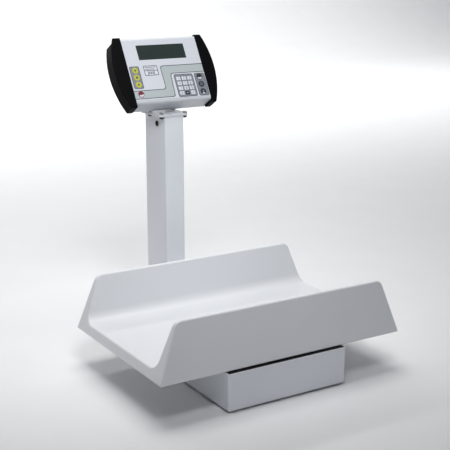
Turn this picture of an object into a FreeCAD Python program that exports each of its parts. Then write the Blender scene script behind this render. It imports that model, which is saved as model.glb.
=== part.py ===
import FreeCAD, Part
import os
import re

import Sketcher
from FreeCAD import Placement, Rotation, Vector

# Animal weighing scale: a moulded cradle tray on a load-cell platform, a sheet-metal base box, and an
# indicator head that tilts on top of a rectangular column behind the tray.
# Frame, in millimetres: +X to the right along the tray, +Y to the rear, +Z up. The origin is at the
# centre of the footprint, on the surface that the rubber feet stand on.

doc = FreeCAD.newDocument("animal_weighing_scale")

# ---------------------------------------------------------------------------------------------------
# Driving dimensions. Each name is a cell alias in the sheet "sizes".
# ---------------------------------------------------------------------------------------------------
SIZES = {
    # footprint and base box
    "overall_deep": 620.0,        # base front face to the rear edge of the rear bar
    "base_wide": 296.0,
    "base_deep": 320.0,
    "cover_high": 80.0,
    "cover_wall": 1.5,
    "cover_corner": 5.0,          # radius of the folded upright edges
    "cover_lift": 5.0,            # floor to the lower edge of the cover
    "cover_fit": 0.5,             # gap from the base plate to the cover
    "cover_tab": 14.0,            # side of the corner tabs that take the cover screws
    "cover_hole": 64.0,           # square opening in the top for the load spacer
    "plate_thick": 3.0,
    "foot_high": 8.0,
    "foot_radius": 13.0,
    "foot_stem": 4.0,
    "foot_inset": 34.0,           # foot centre to the plate's edges
    # weighing platform and load cell
    "cell_long": 150.0,
    "cell_wide": 40.0,
    "cell_high": 40.0,
    "cell_end": 40.0,             # length of the clamped pad at each end of the cell
    "cell_bore": 11.0,            # radius of the two bores that make the cell flex
    "cell_bore_pitch": 26.0,
    "lower_spacer_high": 8.0,
    "platform_clear": 5.0,        # cover top to platform
    "platform_thick": 3.0,
    "platform_wide": 260.0,
    "platform_deep": 240.0,
    "stop_gap": 0.7,              # overload stop to the underside of the cell
    "cell_screw": 3.0,            # M6 radius
    "cell_screw_pitch": 20.0,
    "cell_screw_grip": 12.0,      # length of screw inside the cell
    # cradle tray
    "tray_long": 600.0,
    "tray_top_long": 512.0,
    "tray_deep": 399.0,
    "tray_top_deep": 368.5,
    "tray_high": 123.0,
    "tray_floor_high": 22.0,
    "tray_wall_foot": 38.0,       # outer bottom edge to the inner floor corner
    "tray_rim": 9.0,
    "tray_skin": 4.5,
    "tray_gap": 4.0,              # cover top to the tray's lower edge
    "tray_set_back": 5.5,         # base front face to the tray's front edge
    "tray_corner": 18.0,          # radius of the four upper corners of the walls
    "tray_floor_round": 26.0,     # radius between the floor and the walls
    "tray_core_top": 23.0,        # solid height of the rim above the hollow wall
    "boss_radius": 10.0,
    "boss_high": 6.0,
    "boss_wide_pitch": 220.0,
    "boss_deep_pitch": 200.0,
    "bumper_radius": 12.0,
    "tray_screw": 2.0,            # M4 radius
    "hole_gap": 0.2,              # clearance round a screw shank
    # rear beam, rear bar and column
    "beam_wide": 80.0,
    "beam_high": 40.0,
    "beam_wall": 3.0,
    "beam_start": 250.0,          # base front face to the front end of the beam
    "beam_short": 10.0,           # beam end to the rear edge of the rear bar
    "beam_screw": 4.0,            # M8 radius
    "bar_wide": 290.0,
    "bar_deep": 44.0,
    "bar_lip": 5.0,               # downward lips of the rear bar
    "column_wide": 50.0,
    "column_deep": 102.0,
    "column_wall": 2.5,
    "column_high": 476.5,
    "column_set_back": 482.5,     # base front face to the column's front face
    "column_corner": 3.0,
    "flange_wide": 110.0,
    "flange_margin": 25.0,        # flange beyond the column, front and rear
    "flange_thick": 6.0,
    "flange_bolt_out": 12.5,      # bolt centre to the column's face
    "flange_bolt_pitch": 40.0,
    "beam_bolt_first": 15.0,
    "beam_bolt_step": 35.0,
    "beam_bolt_pitch": 44.0,
    "beam_plug_depth": 4.0,
    "duct_radius": 12.0,          # cable way from the column into the beam
    "grommet_hole": 5.4,
    "grommet_radius": 6.8,
    "grommet_bore": 3.6,
    "grommet_below_top": 20.0,
    "grommet_from_front": 40.0,
    "top_plate_wide": 78.0,
    "top_plate_thick": 3.0,
    "top_plate_margin": 2.0,      # beyond the column's front and rear faces
    "top_plate_corner": 11.0,
    # tilt bracket
    "bracket_thick": 2.5,
    "yoke_foot_wide": 76.0,
    "yoke_ear_pitch": 67.5,       # between the mid-planes of the two ears
    "yoke_ear_deep": 28.0,
    "bracket_bolt": 3.0,          # M6 radius
    "bracket_bolt_pitch": 62.0,
    "bracket_bolt_front": 8.0,    # from the top plate's front edge
    "bracket_bolt_step": 57.5,    # front pair to rear pair
    "pivot_up": 60.0,             # pivot above the panel's lower edge, along the panel
    "pivot_behind": 23.0,         # pivot behind the housing's back face
    "pivot_radius": 4.0,
    "pivot_fit": 0.05,
    "washer_thick": 0.9,
    "washer_radius": 9.0,
    "side_gap": 0.05,
    "knob_radius": 17.0,
    "knob_long": 18.0,
    "knob_lobe": 5.0,
    "head_ear_deep": 12.0,        # radius of the head bracket's ears
    "head_bracket_high": 60.0,
    "head_bracket_wide": 63.0,
    # indicator head, in the panel's own frame
    "head_lean": 30.0,            # degrees that the panel leans back from upright
    "head_lift": 39.8,            # column top to the panel's lower edge
    "head_forward": 2.0,          # panel's lower edge ahead of the column's front face
    "panel_wide": 198.0,
    "panel_high": 160.0,
    "housing_deep": 52.0,
    "housing_below": 5.0,
    "housing_wall": 2.2,
    "housing_round": 7.0,
    "housing_back_round": 4.0,
    "overlay_thick": 0.8,
    "overlay_bottom": 3.0,
    "overlay_top": 6.0,
    "overlay_side": 0.5,
    "window_margin": 36.0,        # panel's side edge to the window, were it centred
    "window_high": 37.0,
    "window_mid_x": -1.0,
    "window_mid_z": 122.5,
    "window_thick": 2.0,
    "window_fit": 0.2,
    "module_margin": 6.0,
    "module_thick": 9.0,
    # end caps
    "cap_reach": 34.0,            # widest point beyond the panel's side edge
    "cap_end_reach": 13.3,        # lower end beyond the panel's side edge
    "cap_top_reach": 18.0,        # upper end beyond the panel's side edge
    "cap_shoulder": 151.0,        # height where the cap's body stops behind its brow
    "cap_brow": 4.0,              # thickness of the brow that goes on above the shoulder
    "cap_below": 12.0,
    "cap_above": 3.5,
    "cap_mid": 75.0,
    "cap_deep": 38.0,
    "cap_wall": 3.0,
    "cap_edge": 3.5,
    "cap_lip_long": 12.0,
    "cap_lip_thick": 8.0,
    "cap_lip_fit": 0.2,
    "cap_screw_low": 20.0,
    "cap_screw_high": 140.0,
    "cap_screw": 1.5,
    # keys
    "key_round": 7.6,
    "key_proud": 0.6,
    "key_gap": 0.15,
    "key_flange": 0.9,
    "key_flange_thick": 0.8,
    "key_travel": 0.5,
    "key_wide": 11.0,
    "key_tall": 9.0,
    "key_step_x": 14.8,
    "key_step_z": 12.4,
    "keypad_inset": 28.2,         # right-hand keys to the last column of the keypad
    "keypad_z": 14.4,
    "left_key_inset": 17.0,       # panel's side edge to the left-hand keys
    "red_key_z": 19.0,
    "yellow_key_z": 43.0,
    "yellow_step": 17.6,
    "right_key_inset": 16.5,      # panel's side edge to the right-hand keys
    "right_key_z": 15.0,
    "right_step": 19.2,
    "dome_radius": 4.0,
    "dome_high": 0.5,
    "board_thick": 1.6,
    "key_board_margin": 5.0,      # panel's side edge to the board behind the keys
    "key_board_low": 1.0,
    "key_board_high": 92.0,
    # electronics
    "main_board_margin": 24.0,    # panel's side edge to the main board
    "main_board_high": 110.0,
    "main_board_low": 22.0,
    "main_board_at": 31.0,        # depth of the board's front face behind the panel
    "pillar_radius": 3.0,
    "pillar_inset": 6.0,
    "battery_margin": 20.0,       # main board's side edge to the battery pack
    "battery_high": 52.0,
    "battery_low": 88.0,
    "battery_clear": 1.5,
    "socket_inset": 25.0,         # main board's side edge to the socket and the gland
    "socket_z": 19.5,
    "socket_radius": 5.5,
    "gland_radius": 6.0,
    "gland_bore": 2.6,
}

sizes = doc.addObject("Spreadsheet::Sheet", "sizes")
for row, (name, value) in enumerate(SIZES.items(), start=1):
    sizes.set(f"A{row}", name)
    sizes.set(f"B{row}", str(value))
    sizes.setAlias(f"B{row}", name)

# ---------------------------------------------------------------------------------------------------
# Places worked out from the driving dimensions. "levels" holds them, each bound to its formula.
# ---------------------------------------------------------------------------------------------------
PLACES = {
    "front_y": "-overall_deep/2",
    "rear_y": "overall_deep/2",
    "plate_top": "foot_high + plate_thick",
    "cover_top": "cover_lift + cover_high",
    "base_y": "front_y + base_deep/2",
    "plate_wide": "base_wide - 2*(cover_wall + cover_fit)",
    "plate_deep": "base_deep - 2*(cover_wall + cover_fit)",
    "front_foot_y": "base_y - plate_deep/2 + foot_inset",
    "rear_foot_y": "rear_y - bar_deep/2",
    "tray_y": "front_y + tray_set_back + tray_deep/2",
    "tray_z": "cover_top + tray_gap",
    "platform_z": "cover_top + platform_clear",
    "platform_top": "platform_z + platform_thick",
    "cell_z": "plate_top + lower_spacer_high",
    "cell_top": "cell_z + cell_high",
    "cell_pad_x": "cell_long/2 - cell_end/2",
    "boss_z": "tray_z + tray_floor_high - tray_skin - boss_high",
    "beam_y": "front_y + beam_start",
    "beam_long": "rear_y - beam_short - beam_y",
    "beam_top": "plate_top + beam_high",
    "column_y": "front_y + column_set_back + column_deep/2",
    "column_z": "beam_top + flange_thick",
    "column_top": "column_z + column_high",
    "flange_deep": "column_deep + 2*flange_margin",
    "flange_bolt_step": "column_deep + 2*flange_bolt_out",
    "top_plate_deep": "column_deep + 2*top_plate_margin",
    "top_plate_front": "column_y - top_plate_deep/2",
    "yoke_z": "column_top + top_plate_thick",
    "head_y": "column_y - column_deep/2 - head_forward",
    "head_z": "column_top + head_lift",
    "pivot_depth": "housing_deep + pivot_behind",
    "pivot_y": "head_y + pivot_up*sin(head_lean) + pivot_depth*cos(head_lean)",
    "pivot_z": "head_z + pivot_up*cos(head_lean) - pivot_depth*sin(head_lean)",
    "ear_out": "yoke_ear_pitch/2 + bracket_thick/2",
    "ear_in": "yoke_ear_pitch/2 - bracket_thick/2",
    "head_ear_out": "ear_in - washer_thick - 2*side_gap",
    "housing_low": "-housing_below",
    "housing_high": "panel_high + housing_below/4",
    "back_inside": "housing_deep - housing_wall",
    "wall_back": "overlay_thick + housing_wall",
    "flange_back": "wall_back + side_gap + key_flange_thick",
    "dome_front": "flange_back + key_travel + side_gap",
    "key_board_front": "dome_front + dome_high",
    "left_key_x": "left_key_inset - panel_wide/2",
    "right_key_x": "panel_wide/2 - right_key_inset",
    "keypad_x": "right_key_x - keypad_inset - 2*key_step_x",
    "key_board_wide": "panel_wide - 2*key_board_margin",
    "main_board_wide": "panel_wide - 2*main_board_margin",
    "battery_wide": "main_board_wide - 2*battery_margin",
    "window_wide": "panel_wide - 2*window_margin",
    "socket_x": "main_board_wide/2 - socket_inset",
    "gland_x": "socket_inset - main_board_wide/2",
}

levels = doc.addObject("App::VarSet", "levels")


def formula(text):
    """Writes plain names as references to the sheet or to the worked-out places."""
    def owner(found):
        word = found.group(0)
        if word in SIZES:
            return "sizes." + word
        if word in PLACES:
            return "levels." + word
        return word
    return re.sub(r"[a-z][a-z_]*[a-z]", owner, str(text))


for name, text in PLACES.items():
    levels.addProperty("App::PropertyFloat", name, "places")
    levels.setExpression(name, formula(text))
doc.recompute()


# ---------------------------------------------------------------------------------------------------
# Building helpers. Every argument named as a size or a place is a formula.
# ---------------------------------------------------------------------------------------------------
def bind(item, **formulas):
    for prop, text in formulas.items():
        item.setExpression(prop.replace("__", "."), formula(text))
    return item


def place(item, x="0", y="0", z="0"):
    return bind(item, Placement__Base__x=x, Placement__Base__y=y, Placement__Base__z=z)


def block(name, middle, lengths, from_z=True):
    """A box centred in X and Y on its place, and standing on it unless from_z is False."""
    item = doc.addObject("Part::Box", name)
    long, deep, high = lengths
    bind(item, Length=long, Width=deep, Height=high)
    low_z = middle[2] if from_z else f"({middle[2]}) - ({high})/2"
    return place(item, f"({middle[0]}) - ({long})/2", f"({middle[1]}) - ({deep})/2", low_z)


TURNS = {
    "+Z": Rotation(),
    "-Z": Rotation(Vector(1, 0, 0), 180),
    "+X": Rotation(Vector(0, 1, 0), 90),
    "-X": Rotation(Vector(0, 1, 0), -90),
    "+Y": Rotation(Vector(1, 0, 0), -90),
    "-Y": Rotation(Vector(1, 0, 0), 90),
}


def rod(name, start, radius, long, way="+Z"):
    """A cylinder that starts at a place and runs along one axis."""
    item = doc.addObject("Part::Cylinder", name)
    item.Placement = Placement(Vector(), TURNS[way])
    bind(item, Radius=radius, Height=long)
    return place(item, *start)


def fuse(name, pieces):
    item = doc.addObject("Part::MultiFuse", name)
    item.Shapes = pieces
    return item


def cut(name, base, tools):
    item = doc.addObject("Part::Cut", name)
    item.Base = base
    item.Tool = tools[0] if len(tools) == 1 else fuse(name + "_tools", tools)
    return item


def group(name, pieces):
    """Separate solids that share one node."""
    item = doc.addObject("Part::Compound", name)
    item.Links = pieces
    return item


def shift(start, way, amount):
    """The place reached by going some way along an axis from a start."""
    sign = "-" if way[0] == "-" else "+"
    moved = list(start)
    axis = "XYZ".index(way[1])
    moved[axis] = f"({moved[axis]}) {sign} ({amount})"
    return tuple(moved)


OPPOSITE = {"+Z": "-Z", "-Z": "+Z", "+X": "-X", "-X": "+X", "+Y": "-Y", "-Y": "+Y"}


def screw(name, seat, radius, long, way):
    """A screw whose head sits on the seat and whose shank runs along way."""
    head = rod(name + "_head", seat, f"1.8*{radius}", f"1.3*{radius}", OPPOSITE[way])
    shank = rod(name + "_shank", seat, radius, long, way)
    return fuse(name, [head, shank])


def nut(name, seat, radius, way, gap="side_gap"):
    """A hexagon nut that stands on the seat, round a shank."""
    hexagon = doc.addObject("Part::Prism", name + "_hex")
    hexagon.Polygon = 6
    hexagon.Placement = Placement(Vector(), TURNS[way])
    bind(hexagon, Circumradius=f"1.9*{radius}", Height=f"1.4*{radius}")
    place(hexagon, *seat)
    bore = rod(name + "_bore", shift(seat, OPPOSITE[way], "1"), f"{radius} + {gap}", f"1.4*{radius} + 2", way)
    return cut(name, hexagon, [bore])


def rounded(name, base, size, chosen):
    """Rounds the edges of base for which chosen(edge middle, edge direction) is true."""
    doc.recompute()
    item = doc.addObject("Part::Fillet", name)
    item.Base = base
    picked = []
    for index, edge in enumerate(base.Shape.Edges, start=1):
        ends = [v.Point for v in edge.Vertexes]
        if len(ends) == 2 and chosen((ends[0] + ends[1]) * 0.5, (ends[1] - ends[0])):
            picked.append((index, size, size))
    item.Edges = picked
    return item


def upright(middle, along):
    return abs(along.z) > abs(along.x) + abs(along.y)


def origin_plane(body, role):
    return next(item for item in body.Origin.OriginFeatures if item.Role == role)


def outline(body, name, plane, points, offset="0", arcs=None):
    """A closed sketch on one of the body's origin planes, pinned to formulas at every corner.

    points are (across, up) formulas; arcs maps a side's number to the place that side bends through.
    """
    sketch = body.newObject("Sketcher::SketchObject", name)
    sketch.AttachmentSupport = (origin_plane(body, plane), [""])
    sketch.MapMode = "FlatFace"
    sketch.setExpression("AttachmentOffset.Base.z", formula(offset))
    arcs = arcs or {}
    spots = [Vector(now(across), now(up), 0) for across, up in points]
    ends = {}
    for side, start in enumerate(spots):
        end = spots[(side + 1) % len(spots)]
        ends[side] = (1, 2)
        if side in arcs:
            through = Vector(now(arcs[side][0]), now(arcs[side][1]), 0)
            if (through - start).cross(end - start).z < 0:
                start, end = end, start
                ends[side] = (2, 1)
            sketch.addGeometry(Part.Arc(start, through, end))
        else:
            sketch.addGeometry(Part.LineSegment(start, end))
    for side in range(len(spots)):
        after = (side + 1) % len(spots)
        sketch.addConstraint(Sketcher.Constraint("Coincident", side, ends[side][1], after, ends[after][0]))
        pin(sketch, side, ends[side][0], *points[side])
    for side, (across, up) in arcs.items():
        mark = sketch.addGeometry(Part.Point(Vector(now(across), now(up), 0)), True)
        sketch.addConstraint(Sketcher.Constraint("PointOnObject", mark, 1, side))
        pin(sketch, mark, 1, across, up)
    return sketch


def now(text):
    """The present value of a formula."""
    return float(levels.evalExpression(formula(text)))


def pin(sketch, item, end, across, up):
    for kind, text in (("DistanceX", across), ("DistanceY", up)):
        number = sketch.addConstraint(Sketcher.Constraint(kind, -1, 1, item, end, now(text)))
        sketch.setExpression(f"Constraints[{number}]", formula(text))


def prism(name, plane, points, long, offset="0", arcs=None, both_ways=True, backwards=False):
    """A body with one outline padded square to its plane."""
    body = doc.addObject("PartDesign::Body", name)
    sketch = outline(body, name + "_outline", plane, points, offset, arcs)
    pad = body.newObject("PartDesign::Pad", name + "_pad")
    pad.Profile = (sketch, [""])
    pad.SideType = "Symmetric" if both_ways else "One side"
    pad.Reversed = backwards
    bind(pad, Length=long)
    return body


NODES = []


def node(name, item):
    """Names a finished piece."""
    item.Label = name
    NODES.append(item)
    return item


def head_node(name, item):
    """Names a piece of the head, built in the panel's frame, and leans it back into place.

    In the panel's frame X runs along the panel, Y goes into the head and Z runs up the panel's face.
    """
    item.Placement = Placement(Vector(), Rotation(Vector(1, 0, 0), -now("head_lean")))
    item.setExpression("Placement.Rotation.Angle", formula("-head_lean"))
    place(item, "0", "head_y", "head_z")
    return node(name, item)


SIDES = {"left": "-1", "right": "1"}


# ---------------------------------------------------------------------------------------------------
# Base: plate, feet, cover, load cell
# ---------------------------------------------------------------------------------------------------
def cell_screw_spots(end):
    """The two screws in one end of the load cell: end is -1 for the fixed end, 1 for the live end."""
    return [(f"{end}*cell_pad_x + {side}*cell_screw_pitch/2", "tray_y") for side in (-1, 1)]


def corner_spots(wide, deep, middle_y):
    return [(f"{a}*({wide})/2", f"({middle_y}) + {b}*({deep})/2") for a in (-1, 1) for b in (-1, 1)]


def holes(name, spots, radius, low, high):
    """Upright holes between two heights, cut a millimetre beyond each."""
    return [rod(f"{name}_{n}", (x, y, f"({low}) - 1"), radius, f"({high}) - ({low}) + 2")
            for n, (x, y) in enumerate(spots)]


TAB_SPOTS = corner_spots("plate_wide - cover_tab", "plate_deep - cover_tab", "base_y")
FRONT_FEET = [(f"{side}*(plate_wide/2 - foot_inset)", "front_foot_y") for side in (-1, 1)]
REAR_FEET = [(f"{side}*(bar_wide/2 - foot_inset)", "rear_foot_y") for side in (-1, 1)]
BEAM_BOLTS = corner_spots("beam_bolt_pitch", "beam_bolt_step", "beam_y + beam_bolt_first + beam_bolt_step/2")
BAR_BOLTS = [(f"{side}*beam_bolt_pitch/2", "rear_foot_y") for side in (-1, 1)]
STOP_SPOT = ("cell_pad_x", "tray_y")


def base_plate():
    sheet = block("plate_blank", ("0", "base_y", "foot_high"), ("plate_wide", "plate_deep", "plate_thick"))
    sheet = rounded("plate_round", sheet, now("cover_corner"), upright)
    low, high = "foot_high", "plate_top"
    tools = holes("plate_cell_hole", cell_screw_spots("-1") + [STOP_SPOT], "cell_screw + hole_gap", low, high)
    tools += holes("plate_foot_hole", FRONT_FEET, "foot_stem", low, high)
    tools += holes("plate_beam_hole", BEAM_BOLTS, "beam_screw + hole_gap", low, high)
    tools += holes("plate_tab_hole", TAB_SPOTS, "tray_screw + hole_gap", low, high)
    node("base_plate", cut("base_plate", sheet, tools))


def rubber_feet():
    feet = []
    for n, (x, y) in enumerate(FRONT_FEET + REAR_FEET):
        pad = rod(f"foot_pad_{n}", (x, y, "0"), "foot_radius", "foot_high")
        stem = rod(f"foot_stem_{n}", (x, y, "foot_high"), "foot_stem", "plate_thick")
        bead = rod(f"foot_bead_{n}", (x, y, "plate_top"), "foot_stem + 1.5", "2")
        feet.append(fuse(f"foot_{n}", [pad, stem, bead]))
    node("rubber_feet", group("rubber_feet", feet))


def base_cover():
    size = ("base_wide", "base_deep", "cover_high")
    shell = block("cover_blank", ("0", "base_y", "cover_lift"), size)
    shell = rounded("cover_round", shell, now("cover_corner"), upright)
    inner = ("base_wide - 2*cover_wall", "base_deep - 2*cover_wall", "cover_high - cover_wall + 1")
    core = block("cover_core", ("0", "base_y", "cover_lift - 1"), inner)
    core = rounded("cover_core_round", core, now("cover_corner - cover_wall"), upright)
    opening = block("cover_opening", ("cell_pad_x", "tray_y", "cover_top - cover_wall - 1"),
                    ("cover_hole", "cover_hole", "cover_wall + 2"))
    exit_y = "base_y + base_deep/2"
    beam_exit = block("cover_beam_exit", ("0", exit_y, "cover_lift - 1"),
                      ("beam_wide + 2", "4*cover_wall", "beam_top + 1 - cover_lift + 1"))
    shell = cut("cover_shell", shell, [core, opening, beam_exit])
    tab_size = ("cover_tab + cover_fit", "cover_tab + cover_fit", "cover_tab/2")
    tabs = []
    for n, (x, y) in enumerate(corner_spots("plate_wide - cover_tab + cover_fit",
                                            "plate_deep - cover_tab + cover_fit", "base_y")):
        tabs.append(block(f"cover_tab_{n}", (x, y, "plate_top"), tab_size))
    tabs = rounded("cover_tabs_round", fuse("cover_tabs", tabs), now("cover_corner - cover_wall"),
                   lambda middle, along: upright(middle, along)
                   and abs(middle.x) > now("plate_wide/2 - 1")
                   and abs(middle.y - now("base_y")) > now("plate_deep/2 - 1"))
    tools = holes("cover_tab_hole", TAB_SPOTS, "tray_screw + side_gap", "plate_top", "plate_top + cover_tab/2")
    node("base_cover", cut("base_cover", fuse("cover_with_tabs", [shell, tabs]), tools))
    screws = [screw(f"cover_screw_{n}", (x, y, "foot_high"), "tray_screw", "plate_thick + cover_tab/2 - 1", "+Z")
              for n, (x, y) in enumerate(TAB_SPOTS)]
    node("cover_screws", group("cover_screws", screws))


def load_cell():
    """An aluminium beam fixed at its left end; the tray's platform hangs on its right end."""
    blank = block("cell_blank", ("0", "tray_y", "cell_z"), ("cell_long", "cell_wide", "cell_high"))
    tools = []
    for n, side in enumerate((-1, 1)):
        tools.append(rod(f"cell_bore_{n}", (f"{side}*cell_bore_pitch/2", "tray_y - cell_wide/2 - 1",
                                            "cell_z + cell_high/2"), "cell_bore", "cell_wide + 2", "+Y"))
    tools.append(block("cell_slot", ("0", "tray_y", "cell_z + cell_high/2 - cell_bore/4"),
                       ("cell_bore_pitch", "cell_wide + 2", "cell_bore/2")))
    tools += holes("cell_low_hole", cell_screw_spots("-1"), "cell_screw + side_gap", "cell_z",
                   "cell_z + cell_screw_grip")
    tools += holes("cell_high_hole", cell_screw_spots("1"), "cell_screw + side_gap",
                   "cell_top - cell_screw_grip", "cell_top")
    node("load_cell", cut("load_cell", blank, tools))
    spacer("lower_spacer", "-1", "plate_top", "lower_spacer_high")
    spacer("upper_spacer", "1", "cell_top", "platform_z - cell_top")
    for name, end, seat, long, way in (
            ("lower_cell_screws", "-1", "foot_high", "plate_thick + lower_spacer_high + cell_screw_grip", "+Z"),
            ("upper_cell_screws", "1", "platform_top", "platform_top - cell_top + cell_screw_grip", "-Z")):
        screws = [screw(f"{name}_{n}", (x, y, seat), "cell_screw", long, way)
                  for n, (x, y) in enumerate(cell_screw_spots(end))]
        node(name, group(name, screws))
    stop = (*STOP_SPOT, "foot_high")
    bolt = screw("stop_bolt", stop, "cell_screw", "plate_thick + lower_spacer_high - stop_gap", "+Z")
    lock = nut("stop_nut", (*STOP_SPOT, "plate_top"), "cell_screw", "+Z")
    node("overload_stop", group("overload_stop", [bolt, lock]))


def spacer(name, end, low, high):
    blank = block(name + "_blank", (f"{end}*cell_pad_x", "tray_y", low), ("cell_end", "cell_wide", high))
    tools = holes(name + "_hole", cell_screw_spots(end), "cell_screw + hole_gap", low, f"{low} + {high}")
    node(name, cut(name, blank, tools))


# ---------------------------------------------------------------------------------------------------
# Weighing platform and cradle tray
# ---------------------------------------------------------------------------------------------------
TRAY_SPOTS = corner_spots("boss_wide_pitch", "boss_deep_pitch", "tray_y")


def platform():
    sheet = block("platform_blank", ("0", "tray_y", "platform_z"),
                  ("platform_wide", "platform_deep", "platform_thick"))
    tools = holes("platform_cell_hole", cell_screw_spots("1"), "cell_screw + hole_gap", "platform_z", "platform_top")
    tools += holes("platform_tray_hole", TRAY_SPOTS, "tray_screw + hole_gap", "platform_z", "platform_top")
    node("platform", cut("platform", sheet, tools))
    bumpers = []
    for n, (x, y) in enumerate(TRAY_SPOTS):
        ring = rod(f"bumper_ring_{n}", (x, y, "platform_top"), "bumper_radius", "boss_z - platform_top")
        bore = holes(f"bumper_bore_{n}", [(x, y)], "tray_screw + hole_gap", "platform_top", "boss_z")
        bumpers.append(cut(f"bumper_{n}", ring, bore))
    node("tray_bumpers", group("tray_bumpers", bumpers))
    long = "boss_z + boss_high - 1 - platform_z"
    screws = [screw(f"tray_screw_{n}", (x, y, "platform_z"), "tray_screw", long, "+Z")
              for n, (x, y) in enumerate(TRAY_SPOTS)]
    node("tray_screws", group("tray_screws", screws))


def tray():
    """A thick moulded trough with open ends. Its two walls narrow upwards and are hollow underneath."""
    foot, floor = "tray_deep/2 - tray_wall_foot", "tray_floor_high"
    rim = "tray_top_deep/2"
    section = mirror_points([("tray_deep/2", "0"), (rim, "tray_high"), (f"{rim} - tray_rim", "tray_high"),
                             (foot, floor)])
    side = mirror_points([("tray_long/2", "0"), ("tray_top_long/2", "tray_high")])
    core_top = "(tray_high - tray_core_top)"
    lean = "((tray_deep - tray_top_deep)/2/tray_high)"
    inner_lean = f"(({rim} - tray_rim - ({foot}))/(tray_high - tray_floor_high))"
    core_section = mirror_points([
        ("tray_deep/2 - tray_skin", "-1"),
        (f"tray_deep/2 - tray_skin - {lean}*{core_top}", core_top),
        (f"{foot} + tray_skin + {inner_lean}*({core_top} - tray_floor_high)", core_top),
        (f"{foot} + tray_skin", "tray_floor_high - tray_skin")])
    core_side = mirror_points([("tray_long/2 - 1.2*tray_skin", "-1"),
                               ("tray_top_long/2 - 1.2*tray_skin", "tray_high")])
    solid = common("tray_solid", prism("tray_section", "YZ_Plane", section, "tray_long"),
                   prism("tray_side", "XZ_Plane", side, "tray_deep"))
    solid = rounded("tray_corners", solid, now("tray_corner"),
                    lambda middle, along: abs(along.x) < 1e-6 and middle.z > now("tray_high") - 1e-3
                    and abs(along.y) > 1)
    solid = rounded("tray_floor_rounds", solid, now("tray_floor_round"),
                    lambda middle, along: abs(along.y) < 1e-6 and abs(middle.z - now("tray_floor_high")) < 1e-3
                    and abs(along.x) > 1)
    core = common("tray_core", prism("tray_core_section", "YZ_Plane", core_section, "tray_long"),
                  prism("tray_core_side", "XZ_Plane", core_side, "tray_deep"))
    shell = place(cut("tray_shell", solid, [core]), "0", "tray_y", "tray_z")
    bosses = [rod(f"boss_{n}", (x, y, "boss_z"), "boss_radius", "boss_high") for n, (x, y) in enumerate(TRAY_SPOTS)]
    bores = [rod(f"boss_bore_{n}", (x, y, "boss_z - 1"), "tray_screw + side_gap", "boss_high + 1")
             for n, (x, y) in enumerate(TRAY_SPOTS)]
    node("tray", cut("tray", fuse("tray_with_bosses", [shell, *bosses]), bores))


def mirror_points(half):
    """A closed outline from the points of its right half, listed from the bottom up and inwards."""
    return half + [(f"-({across})", up) for across, up in reversed(half)]


def common(name, first, second):
    item = doc.addObject("Part::MultiCommon", name)
    item.Shapes = [first, second]
    return item


# ---------------------------------------------------------------------------------------------------
# Rear beam, rear bar and column
# ---------------------------------------------------------------------------------------------------
FLANGE_BOLTS = corner_spots("flange_bolt_pitch", "flange_bolt_step", "column_y")
BRACKET_BOLTS = [(f"{side}*bracket_bolt_pitch/2", f"top_plate_front + bracket_bolt_front + {n}*bracket_bolt_step")
                 for side in (-1, 1) for n in (0, 1)]


def bolted(name, spots, seat, radius, grip, way):
    """Bolts with their nuts on the far side of a stack that is as thick as grip, as a list of solids."""
    pieces = []
    for n, (x, y) in enumerate(spots):
        pieces.append(screw(f"{name}_bolt_{n}", (x, y, seat), radius, f"({grip}) + 2*{radius}", way))
        pieces.append(nut(f"{name}_nut_{n}", shift((x, y, seat), way, grip), radius, way))
    return pieces


def beam():
    middle = "beam_y + beam_long/2"
    tube = block("beam_blank", ("0", middle, "plate_top"), ("beam_wide", "beam_long", "beam_high"))
    core = block("beam_core", ("0", middle, "plate_top + beam_wall"),
                 ("beam_wide - 2*beam_wall", "beam_long + 2", "beam_high - 2*beam_wall"))
    low, high = "plate_top", "plate_top + beam_wall"
    tools = [core] + holes("beam_low_hole", BEAM_BOLTS + BAR_BOLTS, "beam_screw + hole_gap", low, high)
    low, high = "beam_top - beam_wall", "beam_top"
    tools += holes("beam_high_hole", FLANGE_BOLTS, "beam_screw + hole_gap", low, high)
    tools += holes("beam_duct", [("0", "column_y")], "duct_radius", low, high)
    node("rear_beam", cut("rear_beam", tube, tools))
    end = "beam_y + beam_long"
    cap = block("plug_face", ("0", f"{end} + beam_wall/2", "plate_top"), ("beam_wide", "beam_wall", "beam_high"))
    neck = block("plug_neck", ("0", f"{end} - beam_plug_depth/2", "plate_top + beam_wall + side_gap"),
                 ("beam_wide - 2*beam_wall - 2*side_gap", "beam_plug_depth",
                  "beam_high - 2*beam_wall - 2*side_gap"))
    node("beam_plug", fuse("beam_plug", [cap, neck]))


def frame_bolts():
    """The M8 bolts that join the base plate, the rear bar and the column's flange to the beam."""
    low_grip = "plate_thick + beam_wall"
    pieces = bolted("frame_low", BEAM_BOLTS + BAR_BOLTS, "foot_high", "beam_screw", low_grip, "+Z")
    pieces += bolted("frame_high", FLANGE_BOLTS, "column_z", "beam_screw", "flange_thick + beam_wall", "-Z")
    node("frame_bolts", group("frame_bolts", pieces))


def rear_bar():
    blank = block("bar_blank", ("0", "rear_foot_y", "foot_high - bar_lip"),
                  ("bar_wide", "bar_deep", "plate_thick + bar_lip"))
    core = block("bar_core", ("0", "rear_foot_y", "foot_high - bar_lip - 1"),
                 ("bar_wide + 2", "bar_deep - 2*plate_thick", "bar_lip + 1"))
    tools = [core] + holes("bar_foot_hole", REAR_FEET, "foot_stem", "foot_high", "plate_top")
    tools += holes("bar_bolt_hole", BAR_BOLTS, "beam_screw + hole_gap", "foot_high", "plate_top")
    node("rear_bar", cut("rear_bar", blank, tools))


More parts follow.
